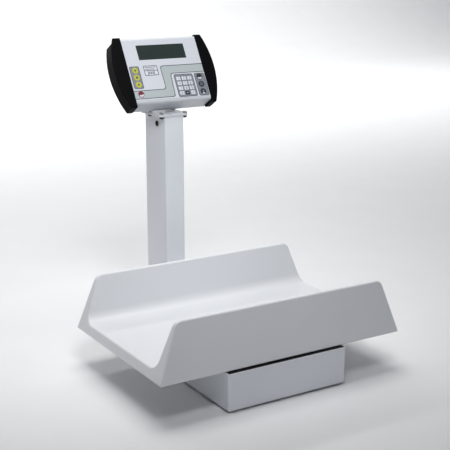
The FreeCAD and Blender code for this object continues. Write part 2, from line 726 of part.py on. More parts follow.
def column():
    """A rectangular tube welded to its foot flange."""
    flange = block("flange_blank", ("0", "column_y", "beam_top"), ("flange_wide", "flange_deep", "flange_thick"))
    tools = holes("flange_hole", FLANGE_BOLTS, "beam_screw + hole_gap", "beam_top", "column_z")
    tools += holes("flange_duct", [("0", "column_y")], "duct_radius", "beam_top", "column_z")
    flange = cut("flange_drilled", flange, tools)
    tube = block("column_blank", ("0", "column_y", "column_z"), ("column_wide", "column_deep", "column_high"))
    tube = rounded("column_round", tube, now("column_corner"), upright)
    core = block("column_core", ("0", "column_y", "column_z - 1"),
                 ("column_wide - 2*column_wall", "column_deep - 2*column_wall", "column_high + 2"))
    window = rod("column_cable_hole", GROMMET_SPOT, "grommet_hole", "column_wall + 2", "+X")
    node("column", fuse("column", [flange, cut("column_tube", tube, [core, window])]))
    ring = rod("grommet_ring", shift(GROMMET_SPOT, "+X", "1"), "grommet_radius", "1.5", "-X")
    neck = rod("grommet_neck", shift(GROMMET_SPOT, "+X", "1"), "grommet_hole", "column_wall", "+X")
    bead = rod("grommet_bead", shift(GROMMET_SPOT, "+X", "1 + column_wall"), "grommet_radius - 1", "1.5", "+X")
    bore = rod("grommet_bore_rod", shift(GROMMET_SPOT, "-X", "2"), "grommet_bore", "column_wall + 8", "+X")
    node("cable_grommet", cut("cable_grommet", fuse("grommet_body", [ring, neck, bead]), [bore]))


GROMMET_SPOT = ("-column_wide/2 - 1", "column_y - column_deep/2 + grommet_from_front",
                "column_top - grommet_below_top")


def top_plate():
    sheet = block("top_plate_blank", ("0", "column_y", "column_top"),
                  ("top_plate_wide", "top_plate_deep", "top_plate_thick"))
    sheet = rounded("top_plate_round", sheet, now("top_plate_corner"), upright)
    tools = holes("top_plate_hole", BRACKET_BOLTS, "bracket_bolt + hole_gap", "column_top", "yoke_z")
    node("top_plate", cut("top_plate", sheet, tools))
    pieces = bolted("bracket", BRACKET_BOLTS, "yoke_z + bracket_thick", "bracket_bolt",
                    "bracket_thick + top_plate_thick", "-Z")
    node("bracket_bolts", group("bracket_bolts", pieces))


# ---------------------------------------------------------------------------------------------------
# Tilt bracket: a yoke on the column, ears on the head, a pivot bolt and a knob
# ---------------------------------------------------------------------------------------------------
def yoke():
    front = "(top_plate_front + side_gap)"
    break_y = "(pivot_y - yoke_ear_deep/2 - 2*bracket_thick)"
    rear = "(pivot_y + yoke_ear_deep/2)"
    foot = block("yoke_foot", ("0", f"({front} + {break_y})/2", "yoke_z"),
                 ("yoke_foot_wide", f"{break_y} - {front}", "bracket_thick"))
    foot = rounded("yoke_foot_round", foot, now("top_plate_corner"),
                   lambda middle, along: upright(middle, along) and middle.y < now(front) + 1)
    tail = block("yoke_tail", ("0", f"({break_y} + {rear})/2 - 1", "yoke_z"),
                 ("2*ear_out", f"{rear} - {break_y} + 2", "bracket_thick"))
    pieces = [foot, tail]
    for name, side in SIDES.items():
        middle_x = f"{side}*yoke_ear_pitch/2"
        pieces.append(block(f"yoke_ear_{name}", (middle_x, "pivot_y", "yoke_z"),
                            ("bracket_thick", "yoke_ear_deep", "pivot_z - yoke_z")))
        pieces.append(rod(f"yoke_eye_{name}", (f"{middle_x} - bracket_thick/2", "pivot_y", "pivot_z"),
                          "yoke_ear_deep/2", "bracket_thick", "+X"))
    tools = holes("yoke_hole", BRACKET_BOLTS, "bracket_bolt + hole_gap", "yoke_z", "yoke_z + bracket_thick")
    tools.append(rod("yoke_pivot_hole", ("-ear_out - 1", "pivot_y", "pivot_z"), "pivot_radius + pivot_fit",
                     "2*ear_out + 2", "+X"))
    node("yoke", cut("yoke", fuse("yoke_blank", pieces), tools))


def pivot():
    seat = ("-ear_out", "pivot_y", "pivot_z")
    node("pivot_bolt", screw("pivot_bolt", seat, "pivot_radius", "2*ear_out + knob_long - 2", "+X"))
    washers = []
    for name, side in SIDES.items():
        low = f"{side}*(ear_in - side_gap - washer_thick/2) - washer_thick/2"
        disc = rod(f"washer_disc_{name}", (low, "pivot_y", "pivot_z"), "washer_radius", "washer_thick", "+X")
        bore = rod(f"washer_bore_{name}", (f"{low} - 1", "pivot_y", "pivot_z"), "pivot_radius + pivot_fit",
                   "washer_thick + 2", "+X")
        washers.append(cut(f"washer_{name}", disc, [bore]))
    node("pivot_washers", group("pivot_washers", washers))


def tilt_knob():
    start = "(ear_out + 6*side_gap)"
    collar = "0.2*knob_long"
    pieces = [rod("knob_collar", (start, "pivot_y", "pivot_z"), "washer_radius", "knob_long", "+X")]
    grip_x = f"{start} + {collar}"
    grip_long = f"knob_long - {collar}"
    pieces.append(rod("knob_core", (grip_x, "pivot_y", "pivot_z"), "knob_radius - knob_lobe/2", grip_long, "+X"))
    for n in range(6):
        spot = (grip_x, f"pivot_y + (knob_radius - knob_lobe)*cos({60 * n})",
                f"pivot_z + (knob_radius - knob_lobe)*sin({60 * n})")
        pieces.append(rod(f"knob_lobe_{n}", spot, "knob_lobe", grip_long, "+X"))
    bore = rod("knob_bore", ("ear_out - 1", "pivot_y", "pivot_z"), "pivot_radius + pivot_fit", "knob_long", "+X")
    node("tilt_knob", cut("tilt_knob", fuse("knob_blank", pieces), [bore]))


BRACKET_SCREWS = [(f"{a}*head_bracket_wide/3", f"pivot_up + {b}*head_bracket_high*0.36")
                  for a in (-1, 1) for b in (-1, 1)]


def panel_holes(name, spots, radius, low, high):
    """Holes square to the panel, between two depths, cut a millimetre beyond each."""
    return [rod(f"{name}_{n}", (x, f"({low}) - 1", z), radius, f"({high}) - ({low}) + 2", "+Y")
            for n, (x, z) in enumerate(spots)]


def head_bracket():
    plate = block("head_bracket_plate", ("0", "housing_deep + bracket_thick/2", "pivot_up - head_bracket_high/2"),
                  ("2*head_ear_out", "bracket_thick", "head_bracket_high"))
    pieces = [plate]
    for name, side in SIDES.items():
        middle_x = f"{side}*(head_ear_out - bracket_thick/2)"
        pieces.append(block(f"head_ear_{name}",
                            (middle_x, "(housing_deep + pivot_depth)/2", "pivot_up - head_ear_deep"),
                            ("bracket_thick", "pivot_behind", "2*head_ear_deep")))
        pieces.append(rod(f"head_eye_{name}", (f"{middle_x} - bracket_thick/2", "pivot_depth", "pivot_up"),
                          "head_ear_deep", "bracket_thick", "+X"))
    tools = panel_holes("head_bracket_hole", BRACKET_SCREWS, "tray_screw + hole_gap", "housing_deep",
                        "housing_deep + bracket_thick")
    tools.append(rod("head_pivot_hole", ("-ear_out", "pivot_depth", "pivot_up"), "pivot_radius + pivot_fit",
                     "2*ear_out", "+X"))
    head_node("head_bracket", cut("head_bracket", fuse("head_bracket_blank", pieces), tools))
    screws = [screw(f"head_bracket_screw_{n}", (x, "housing_deep + bracket_thick", z), "tray_screw",
                    "bracket_thick + housing_wall + 4", "-Y") for n, (x, z) in enumerate(BRACKET_SCREWS)]
    head_node("head_bracket_screws", group("head_bracket_screws", screws))


# ---------------------------------------------------------------------------------------------------
# Indicator head, in the panel's frame
# ---------------------------------------------------------------------------------------------------
ROUND_KEYS = {"key_red": ("left_key_x", "red_key_z")}
for row in range(3):
    ROUND_KEYS[f"key_yellow_{row + 1}"] = ("left_key_x", f"yellow_key_z + {row}*yellow_step")
    ROUND_KEYS[f"key_dark_{row + 1}"] = ("right_key_x", f"right_key_z + {row}*right_step")
SQUARE_KEYS = {}
for row in range(4):
    for line in range(3):
        SQUARE_KEYS[f"key_pad_{row + 1}_{line + 1}"] = (f"keypad_x + {line}*key_step_x", f"keypad_z + {row}*key_step_z")


def key_openings():
    """The openings for the keys, through the overlay and the front wall."""
    tools = panel_holes("key_hole", ROUND_KEYS.values(), "key_round + key_gap", "0", "wall_back")
    for n, (x, z) in enumerate(SQUARE_KEYS.values()):
        tools.append(block(f"key_slot_{n}", (x, "wall_back/2", f"{z} - key_tall/2 - key_gap"),
                           ("key_wide + 2*key_gap", "wall_back + 2", "key_tall + 2*key_gap")))
    return tools


def along_panel(low_z, high_z, low_y, high_y, wide, name, middle_x="0"):
    """A box given by its depths and its heights on the panel."""
    return block(name, (middle_x, f"(({low_y}) + ({high_y}))/2", low_z),
                 (wide, f"({high_y}) - ({low_y})", f"({high_z}) - ({low_z})"))


def housing_rounds(name, base, trim):
    front = rounded(name + "_front", base, now(f"housing_round - {trim}"),
                    lambda middle, along: abs(along.x) > 1 and middle.y < now("housing_deep/2"))
    return rounded(name + "_back", front, now(f"housing_back_round - {trim}"),
                   lambda middle, along: abs(along.x) > 1 and middle.y > now(f"housing_deep - {trim} - 0.5"))


BACK_SCREWS = [(f"{side}*(panel_wide - cap_lip_long)/2", z) for side in (-1, 1)
               for z in ("cap_screw_low", "cap_screw_high")]


def head_shell():
    outer = along_panel("housing_low", "housing_high", "overlay_thick", "housing_deep", "panel_wide", "housing_blank")
    outer = housing_rounds("housing_outer", outer, "0")
    inner = along_panel("housing_low + housing_wall", "housing_high - housing_wall", "wall_back", "back_inside",
                        "panel_wide + 2", "housing_core")
    inner = housing_rounds("housing_inner", inner, "housing_wall")
    keys = fuse("key_openings", key_openings())
    window = along_panel("window_mid_z - window_high/2 - window_fit", "window_mid_z + window_high/2 + window_fit",
                         "-1", "wall_back + 1", "window_wide + 2*window_fit", "window_opening", "window_mid_x")
    tools = [inner, keys, window]
    tools += panel_holes("back_screw_hole", BRACKET_SCREWS, "tray_screw + side_gap", "back_inside", "housing_deep")
    tools += panel_holes("back_cap_hole", BACK_SCREWS, "cap_screw + hole_gap", "back_inside", "housing_deep")
    tools += panel_holes("back_gland_hole", [("gland_x", "socket_z")], "gland_radius", "back_inside", "housing_deep")
    tools += panel_holes("back_socket_hole", [("socket_x", "socket_z")], "socket_radius", "back_inside", "housing_deep")
    head_node("head_housing", cut("head_housing", outer, tools))
    film = along_panel("overlay_bottom", "panel_high - overlay_top", "0", "overlay_thick",
                       "panel_wide - 2*overlay_side", "overlay_blank")
    head_node("front_overlay", cut("front_overlay", film, [keys, window]))


def display():
    pane = along_panel("window_mid_z - window_high/2", "window_mid_z + window_high/2", "window_fit",
                       "window_fit + window_thick", "window_wide", "window_pane", "window_mid_x")
    head_node("display_window", group("display_window", [pane]))
    back = "(wall_back + window_fit + module_thick)"
    low, high = "window_mid_z - window_high/2 - module_margin", "window_mid_z + window_high/2 + module_margin"
    pieces = [along_panel(low, high, "wall_back + window_fit", back, "window_wide + module_margin", "module_case",
                          "window_mid_x")]
    for n, (x, z) in enumerate([(f"window_mid_x + {a}*window_wide/2", f"window_mid_z + {b}*window_high*0.2")
                                for a in (-1, 1) for b in (-1, 1)]):
        pieces.append(rod(f"module_leg_{n}", (x, back, z), "pillar_radius", f"main_board_at - {back}", "+Y"))
    head_node("display_module", fuse("display_module", pieces))


def bow(name, side, inset, low, high, deep, start):
    """The outline of an end cap, drawn in by an inset and padded along the panel's depth."""
    edge = "panel_wide/2"
    inner = f"{side}*({edge} + {inset})"
    points = [(inner, low), (f"{side}*({edge} + cap_end_reach - {inset})", low),
              (f"{side}*({edge} + cap_top_reach - {inset})", high), (inner, high)]
    widest = {1: (f"{side}*({edge} + cap_reach - {inset})", "cap_mid")}
    return prism(name, "XZ_Plane", points, deep, start, widest, False, True)


def end_cap(name, side):
    """A bow-shaped hollow end cap, with a side plate and a lip that is screwed to the housing's back wall."""
    edge = "panel_wide/2"
    wall = "cap_wall"
    low, high = "-cap_below", "panel_high + cap_above"
    blank = bow(name + "_blank", side, "0", low, high, "cap_deep", "0")
    blank = rounded(name + "_round", blank, now("cap_edge"),
                    lambda middle, along: abs(middle.x) > now(f"{edge} + 1"))
    plate = along_panel("housing_low", "housing_high", "cap_deep/2", "back_inside", wall, name + "_plate",
                        f"{side}*({edge} + {wall}/2)")
    step = along_panel("cap_shoulder", f"{high} + 1", "cap_brow", "cap_deep + 1", "cap_reach",
                       name + "_step", f"{side}*({edge} + {wall} + cap_reach/2)")
    core = bow(name + "_core", side, wall, f"{low} + {wall}", f"cap_shoulder - {wall}",
               f"cap_deep - 2*{wall}", f"-{wall}")
    mouth = along_panel("housing_low + 4*housing_wall", f"cap_shoulder - 2*{wall}", "4*housing_wall",
                        "cap_deep - 4*housing_wall", f"4*{wall}", name + "_mouth", f"{side}*({edge} + {wall})")
    shell = cut(name + "_shell", fuse(name + "_outside", [blank, plate]), [step, core, mouth])
    lip_back = "(back_inside - cap_lip_fit)"
    lip = along_panel("housing_low + 2*housing_wall", "housing_high - 2*housing_wall",
                      f"{lip_back} - cap_lip_thick", lip_back, f"cap_lip_long + {wall}", name + "_lip",
                      f"{side}*({edge} + ({wall} - cap_lip_long)/2)")
    bores = panel_holes(name + "_bore", [(f"{side}*(panel_wide - cap_lip_long)/2", z)
                                         for z in ("cap_screw_low", "cap_screw_high")],
                        "cap_screw + side_gap", "back_inside - cap_lip_thick", "back_inside")
    head_node(name, cut(name, fuse(name + "_joined", [shell, lip]), bores))


def cap_screws():
    screws = [screw(f"cap_screw_{n}", (x, "housing_deep", z), "cap_screw", "housing_wall + cap_lip_thick - 1", "-Y")
              for n, (x, z) in enumerate(BACK_SCREWS)]
    head_node("cap_screws", group("cap_screws", screws))


def key(name, spot, is_round):
    """A key cap that passes through the panel, with a flange behind the front wall."""
    x, z = spot
    seat = "wall_back + side_gap"
    if is_round:
        cap = rod(name + "_cap", (x, "-key_proud", z), "key_round", f"{seat} + key_proud", "+Y")
        rim = rod(name + "_rim", (x, seat, z), "key_round + key_flange", "key_flange_thick", "+Y")
    else:
        cap = along_panel(f"{z} - key_tall/2", f"{z} + key_tall/2", "-key_proud", seat, "key_wide", name + "_cap", x)
        rim = along_panel(f"{z} - key_tall/2 - key_flange", f"{z} + key_tall/2 + key_flange", seat, "flange_back",
                          "key_wide + 2*key_flange", name + "_rim", x)
    head_node(name, fuse(name, [cap, rim]))


def key_switches():
    spots = list(ROUND_KEYS.values()) + list(SQUARE_KEYS.values())
    domes = [rod(f"dome_{n}", (x, "dome_front", z), "dome_radius", "dome_high", "+Y") for n, (x, z) in enumerate(spots)]
    board = along_panel("key_board_low", "key_board_high", "key_board_front", "key_board_front + board_thick",
                        "key_board_wide", "key_board_sheet")
    head_node("key_board", group("key_board", [board, *domes]))


def electronics():
    front = "main_board_at"
    back = "(main_board_at + board_thick)"
    high = "(main_board_low + main_board_high)"
    board = along_panel("main_board_low", high, front, back, "main_board_wide", "main_board_blank")
    spots = [(f"{a}*(main_board_wide/2 - pillar_inset)", z) for a in (-1, 1)
             for z in ("main_board_low + pillar_inset", f"{high} - pillar_inset")]
    tools = panel_holes("board_hole", spots, "cap_screw + hole_gap", front, back)
    head_node("main_board", cut("main_board", board, tools))
    pieces = []
    for n, (x, z) in enumerate(spots):
        post = rod(f"pillar_{n}", (x, back, z), "pillar_radius", f"back_inside - {back}", "+Y")
        bore = rod(f"pillar_bore_{n}", (x, f"{back} - 1", z), "cap_screw + side_gap", "8", "+Y")
        pieces.append(cut(f"pillar_bored_{n}", post, [bore]))
        pieces.append(screw(f"board_screw_{n}", (x, front, z), "cap_screw", "board_thick + 6", "+Y"))
    for n, (x, z) in enumerate([("key_board_wide/2 - pillar_inset", "key_board_high - pillar_inset/2"),
                                ("-key_board_wide/2 + pillar_inset/2", "key_board_high - pillar_inset/2"),
                                ("keypad_x - 2*key_round - key_step_z + 2", "socket_z/2"),
                                ("left_key_x + 2.5*key_round", "socket_z/2")]):
        pieces.append(rod(f"key_pillar_{n}", (x, "wall_back", z), "pillar_radius", "key_board_front - wall_back", "+Y"))
    head_node("board_pillars", group("board_pillars", pieces))
    pack = along_panel("battery_low", "battery_low + battery_high", f"{back} + battery_clear",
                       "back_inside - battery_clear", "battery_wide", "battery_case")
    head_node("battery_pack", group("battery_pack", [pack]))


def sockets():
    """The power socket under its dust cap, and the plugged cable gland, both in the back wall."""
    x, z = "socket_x", "socket_z"
    flange = rod("socket_flange", (x, "housing_deep", z), "socket_radius + 1.5", "1.5", "+Y")
    barrel = rod("socket_barrel", (x, "housing_deep - 12", z), "socket_radius", "12", "+Y")
    cap = rod("socket_cap", (x, "housing_deep + 1.5", z), "socket_radius", "2.5", "+Y")
    head_node("power_socket", fuse("power_socket", [flange, barrel, cap]))
    x = "gland_x"
    body = rod("gland_body", (x, "back_inside - 6", z), "gland_radius", "housing_wall + 6", "+Y")
    inner = rod("gland_inner_nut", (x, "back_inside - 4", z), "gland_radius + 2.5", "4", "+Y")
    outer = rod("gland_outer_nut", (x, "housing_deep", z), "gland_radius + 2.5", "6", "+Y")
    nose = doc.addObject("Part::Cone", "gland_nose")
    nose.Placement = Placement(Vector(), TURNS["+Y"])
    bind(nose, Radius1="gland_radius + 1", Radius2="gland_radius - 1.5", Height="4")
    place(nose, x, "housing_deep + 6", z)
    plug = rod("gland_plug", (x, "housing_deep + 10", z), "gland_bore", "1.5", "+Y")
    head_node("cable_gland", fuse("cable_gland", [body, inner, outer, nose, plug]))


# ---------------------------------------------------------------------------------------------------
# The whole scale
# ---------------------------------------------------------------------------------------------------
base_plate()
rubber_feet()
base_cover()
load_cell()
platform()
tray()
beam()
rear_bar()
frame_bolts()
column()
top_plate()
yoke()
pivot()
tilt_knob()
head_bracket()
head_shell()
display()
for cap_name, cap_side in SIDES.items():
    end_cap(f"end_cap_{cap_name}", cap_side)
cap_screws()
for key_name, key_spot in ROUND_KEYS.items():
    key(key_name, key_spot, True)
for key_name, key_spot in SQUARE_KEYS.items():
    key(key_name, key_spot, False)
key_switches()
electronics()
sockets()

doc.recompute()
faults = [item.Label for item in doc.Objects if "Invalid" in item.State or "Error" in item.State]
faults += [item.Label for item in NODES if item.Shape.isNull() or not item.Shape.isValid()]
faults += [item.Label for item in NODES if not item.Shape.Solids]
if faults:
    raise RuntimeError("these pieces could not be built: " + ", ".join(faults))

os.makedirs("parts", exist_ok=True)
for item in NODES:
    item.Shape.exportStep(os.path.join("parts", item.Label + ".step"))
print(len(NODES), "pieces written")
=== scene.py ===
import math

import bmesh
import bpy
from mathutils import Matrix, Vector


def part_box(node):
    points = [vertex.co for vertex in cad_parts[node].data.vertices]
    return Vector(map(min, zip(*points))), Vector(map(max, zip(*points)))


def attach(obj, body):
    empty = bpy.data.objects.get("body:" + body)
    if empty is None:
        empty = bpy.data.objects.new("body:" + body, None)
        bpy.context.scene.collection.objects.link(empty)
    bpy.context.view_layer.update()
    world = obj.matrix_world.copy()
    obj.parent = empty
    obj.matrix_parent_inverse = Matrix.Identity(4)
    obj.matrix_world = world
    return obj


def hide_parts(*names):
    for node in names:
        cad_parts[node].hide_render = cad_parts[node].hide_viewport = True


# Looks of an animal weighing scale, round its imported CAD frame. Metres, +Z up, +Y to the rear.
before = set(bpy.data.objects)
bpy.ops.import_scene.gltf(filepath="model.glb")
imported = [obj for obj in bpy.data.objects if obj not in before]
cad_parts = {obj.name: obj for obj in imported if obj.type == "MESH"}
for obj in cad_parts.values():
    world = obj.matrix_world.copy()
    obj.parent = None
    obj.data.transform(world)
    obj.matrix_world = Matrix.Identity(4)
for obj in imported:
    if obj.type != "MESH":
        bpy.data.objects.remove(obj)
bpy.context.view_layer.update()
MM = 0.001

# ---------------------------------------------------------------------------------------------------
# Camera, floor and light
# ---------------------------------------------------------------------------------------------------
CAMERA_TURN = math.radians(-31.57)      # from straight in front, round to the left
CAMERA_RISE = math.radians(14.52)
CAMERA_AWAY = 2.1899
CAMERA_AIM = Vector((-0.0738, -0.1745, 0.3562))
CAMERA_LENS = 84.07
CAMERA_SENSOR = 36


def add_camera():
    back = Vector((math.sin(CAMERA_TURN) * math.cos(CAMERA_RISE),
                   -math.cos(CAMERA_TURN) * math.cos(CAMERA_RISE), math.sin(CAMERA_RISE)))
    data = bpy.data.cameras.new("camera")
    data.lens = CAMERA_LENS
    data.sensor_width = CAMERA_SENSOR
    camera = bpy.data.objects.new("camera", data)
    camera.location = CAMERA_AIM + back * CAMERA_AWAY
    camera.rotation_euler = back.to_track_quat("Z", "Y").to_euler()
    bpy.context.scene.collection.objects.link(camera)
    bpy.context.scene.camera = camera


def add_light(name, at, aim, size, watts, colour=(1, 1, 1), spread=180):
    data = bpy.data.lights.new(name, "AREA")
    data.shape = "RECTANGLE"
    data.size, data.size_y = size
    data.energy = watts
    data.color = colour
    data.spread = math.radians(spread)
    light = bpy.data.objects.new(name, data)
    light.location = at
    light.rotation_euler = (Vector(at) - Vector(aim)).to_track_quat("Z", "Y").to_euler()
    bpy.context.scene.collection.objects.link(light)


def add_studio():
    """Soft light from above, a gridded soft box on the head and column, and a swept paper backdrop."""
    world = bpy.data.worlds.new("studio")
    world.use_nodes = True
    world.node_tree.nodes["Background"].inputs["Color"].default_value = (0.82, 0.89, 1.0, 1)
    world.node_tree.nodes["Background"].inputs["Strength"].default_value = 0.15
    bpy.context.scene.world = world
    bpy.context.scene.view_settings.view_transform = "Standard"
    add_light("top_light", (-0.05, 0.05, 2.0), (-0.05, 0.0, 0.0), (1.4, 0.8), 17.6, (1, 0.995, 0.98))
    add_light("head_light", (-0.45, -0.95, 1.55), (-0.02, 0.17, 0.46), (0.5, 0.5), 2.15, (0.97, 0.98, 1), 62)
    add_light("paper_light", (1.5, 3.4, 3.6), (1.5, 5.0, 1.0), (8.0, 1.6), 285, (1, 1, 1))
    front, bend, radius, top, half_wide = -9.0, 5.0, 2.5, 9.0, 14
    sweep = [(front, 0.0), (bend, 0.0)]
    sweep += [(bend + radius * math.sin(a), radius - radius * math.cos(a))
              for a in (math.pi / 40 * n for n in range(1, 20))]
    sweep += [(bend + radius, radius), (bend + radius, top)]
    paper = bmesh.new()
    rows = [[paper.verts.new((x, y, z)) for x in (-half_wide, half_wide)] for y, z in sweep]
    for low, high in zip(rows, rows[1:]):
        paper.faces.new((low[0], low[1], high[1], high[0]))
    floor = mesh_object("floor", paper)
    for face in floor.data.polygons:
        face.use_smooth = True
    floor.data.materials.append(textured_finish("floor_paper", (0.90, 0.90, 0.90), 0.9, 300.0, 0.02, 0.01))


# ---------------------------------------------------------------------------------------------------
# Materials
# ---------------------------------------------------------------------------------------------------
GRAIN_DEEP = 0.4 * MM


def shader(name):
    material = bpy.data.materials.new(name)
    material.use_nodes = True
    nodes, links = material.node_tree.nodes, material.node_tree.links
    return material, nodes, links, nodes["Principled BSDF"]


def noise(nodes, links, scale, detail, roughness, stretch=None):
    where = nodes.new("ShaderNodeTexCoord")
    texture = nodes.new("ShaderNodeTexNoise")
    texture.inputs["Scale"].default_value = scale
    texture.inputs["Detail"].default_value = detail
    texture.inputs["Roughness"].default_value = roughness
    if stretch:
        mapping = nodes.new("ShaderNodeMapping")
        mapping.inputs["Scale"].default_value = stretch
        links.new(where.outputs["Object"], mapping.inputs["Vector"])
        links.new(mapping.outputs["Vector"], texture.inputs["Vector"])
    else:
        links.new(where.outputs["Object"], texture.inputs["Vector"])
    return texture.outputs["Fac"]


def spread(nodes, links, source, low, high):
    """The middle range of a noise, spread from low to high."""
    span = nodes.new("ShaderNodeMapRange")
    for key, value in (("From Min", 0.3), ("From Max", 0.7), ("To Min", low), ("To Max", high)):
        span.inputs[key].default_value = value
    links.new(source, span.inputs["Value"])
    return span.outputs["Result"]


def textured_finish(name, colour, rough=0.45, grain=900.0, depth=0.05, vary=0.03, metal=0.0, patch=6.0,
                    stretch=None, specular=0.5):
    """A finish with fine grain, uneven gloss and a slight change of tone over the surface."""
    material, nodes, links, surface = shader(name)
    tone = spread(nodes, links, noise(nodes, links, patch, 4.0, 0.6), 1 - vary, 1 + vary)
    tint = nodes.new("ShaderNodeMix")
    tint.data_type = "RGBA"
    tint.blend_type = "MULTIPLY"
    tint.inputs["Factor"].default_value = 1.0
    tint.inputs["A"].default_value = (*colour, 1)
    links.new(tone, tint.inputs["B"])
    links.new(tint.outputs["Result"], surface.inputs["Base Color"])
    fine = noise(nodes, links, grain, 2.0, 0.6, stretch)
    smudge = noise(nodes, links, patch * 9, 5.0, 0.65)
    gloss = nodes.new("ShaderNodeMath")
    gloss.operation = "ADD"
    links.new(spread(nodes, links, fine, rough * 0.9, rough * 1.1), gloss.inputs[0])
    links.new(spread(nodes, links, smudge, -0.05, 0.05), gloss.inputs[1])
    links.new(gloss.outputs["Value"], surface.inputs["Roughness"])
    bump = nodes.new("ShaderNodeBump")
    bump.inputs["Strength"].default_value = depth
    bump.inputs["Distance"].default_value = GRAIN_DEEP
    links.new(fine, bump.inputs["Height"])
    links.new(bump.outputs["Normal"], surface.inputs["Normal"])
    surface.inputs["Metallic"].default_value = metal
    surface.inputs["Specular IOR Level"].default_value = specular
    return material


def make_finishes():
    f = textured_finish
    return {
        "tray_plastic": f("tray_plastic", (0.775, 0.785, 0.805), 0.36, 1500, 0.10, 0.015, patch=4.0),
        "white_enamel": f("powder_coat", (0.78, 0.80, 0.835), 0.38, 700, 0.16, 0.02),
        "head_enamel": f("head_enamel", (0.56, 0.58, 0.61), 0.33, 900, 0.08, 0.015),
        "overlay_film": f("overlay_film", (0.54, 0.555, 0.60), 0.40, 2200, 0.10, 0.01),
        "band_print": f("band_print", (0.37, 0.41, 0.415), 0.42, 2200, 0.10, 0.02),
        "grey_print": f("grey_print", (0.18, 0.195, 0.225), 0.42, 2200, 0.10, 0.02),
        "pale_print": f("pale_print", (0.60, 0.61, 0.66), 0.42, 2200, 0.10, 0.02),
        "line_print": f("line_print", (0.05, 0.056, 0.07), 0.45, 2200, 0.05, 0.02),
        "cap_plastic": f("cap_plastic", (0.0025, 0.0025, 0.003), 0.5, 1300, 0.22, 0.1, specular=0.05),
        "black_plastic": f("black_plastic", (0.012, 0.012, 0.013), 0.42, 1100, 0.2, 0.1),
        "black_rubber": f("black_rubber", (0.018, 0.018, 0.018), 0.75, 700, 0.3, 0.15),
        "zinc_steel": f("zinc_steel", (0.62, 0.63, 0.66), 0.34, 260, 0.06, 0.08, 1.0, 30, (1, 8, 8)),
        "zinc_screw": f("zinc_screw", (0.60, 0.60, 0.60), 0.3, 900, 0.08, 0.08, 1.0, 60),
        "dark_screw": f("oxide_screw", (0.05, 0.05, 0.055), 0.36, 900, 0.1, 0.1, 1.0, 60),
        "bracket_steel": f("bracket_steel", (0.66, 0.675, 0.70), 0.3, 800, 0.12, 0.03),
        "cell_aluminium": f("milled_aluminium", (0.78, 0.79, 0.80), 0.3, 240, 0.08, 0.05, 1.0, 30, (1, 14, 14)),
        "nylon": f("nylon", (0.80, 0.80, 0.77), 0.5, 900, 0.1, 0.02),
        "display_glass": f("display_glass", (0.022, 0.032, 0.029), 0.2, 1600, 0.01, 0.08, patch=9.0),
        "segment_print": f("segment_print", (0.019, 0.028, 0.0255), 0.2, 1600, 0.01, 0.08, patch=9.0),
        "module_plastic": f("module_plastic", (0.05, 0.06, 0.055), 0.4, 1200, 0.1, 0.05),
        "circuit_board": f("circuit_board", (0.03, 0.16, 0.06), 0.35, 900, 0.1, 0.1),
        "brass_pillar": f("brass_pillar", (0.80, 0.62, 0.28), 0.25, 700, 0.05, 0.05, 1.0),
        "battery_wrap": f("battery_wrap", (0.05, 0.11, 0.30), 0.3, 900, 0.05, 0.03),
        "yellow_key": f("yellow_key", (0.42, 0.42, 0.05), 0.4, 1800, 0.1, 0.04),
        "red_key": f("red_key", (0.16, 0.022, 0.035), 0.38, 1800, 0.1, 0.05),
        "dark_key": f("dark_key", (0.022, 0.028, 0.032), 0.38, 1800, 0.1, 0.05),
        "pale_key": f("pale_key", (0.60, 0.62, 0.66), 0.42, 1800, 0.1, 0.02),
    }


# ---------------------------------------------------------------------------------------------------
# Mesh helpers
# ---------------------------------------------------------------------------------------------------
SHARP_EDGE = math.radians(35.0)
FLAT_ENOUGH = math.radians(0.4)


def mesh_object(name, bm):
    mesh = bpy.data.meshes.new(name)
    bm.to_mesh(mesh)
    bm.free()
    item = bpy.data.objects.new(name, mesh)
    bpy.context.scene.collection.objects.link(item)
    return item


def settle(item):
    """Turns an object's modifiers into its mesh."""
    bpy.context.view_layer.update()
    mesh = bpy.data.meshes.new_from_object(item.evaluated_get(bpy.context.evaluated_depsgraph_get()))
    item.modifiers.clear()
    old = item.data
    item.data = mesh
    bpy.data.meshes.remove(old)
    return item


def bevel(item, width, segments, angle=30.0):
    step = item.modifiers.new("edges", "BEVEL")
    step.width = width
    step.segments = segments
    step.limit_method = "ANGLE"
    step.angle_limit = math.radians(angle)
    step.harden_normals = False
    return settle(item)


def combine(item, tool, how):
    step = item.modifiers.new(how, "BOOLEAN")
    step.operation = how
    step.solver = "EXACT"
    step.object = tool
    settle(item)
    bpy.data.objects.remove(tool)
    return item


def smooth(item):
    for face in item.data.polygons:
        face.use_smooth = True
    item.data.set_sharp_from_angle(angle=SHARP_EDGE)
    step = item.modifiers.new("normals", "WEIGHTED_NORMAL")
    step.keep_sharp = True
    return settle(item)


def tidy_faces(item):
    """Joins doubled points and faces that lie in one plane."""
    bm = bmesh.new()
    bm.from_mesh(item.data)
    bmesh.ops.remove_doubles(bm, verts=bm.verts, dist=1e-6)
    bmesh.ops.dissolve_limit(bm, angle_limit=FLAT_ENOUGH, verts=bm.verts, edges=bm.edges)
    bm.to_mesh(item.data)
    bm.free()
    return item


def dress(item, finish, body, *nodes):
    """Gives a piece its material, its body and the CAD nodes that it stands for."""
    item.data.materials.clear()
    item.data.materials.append(FINISH[finish])
    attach(item, body)
    if nodes:
        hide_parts(*nodes)
    return item


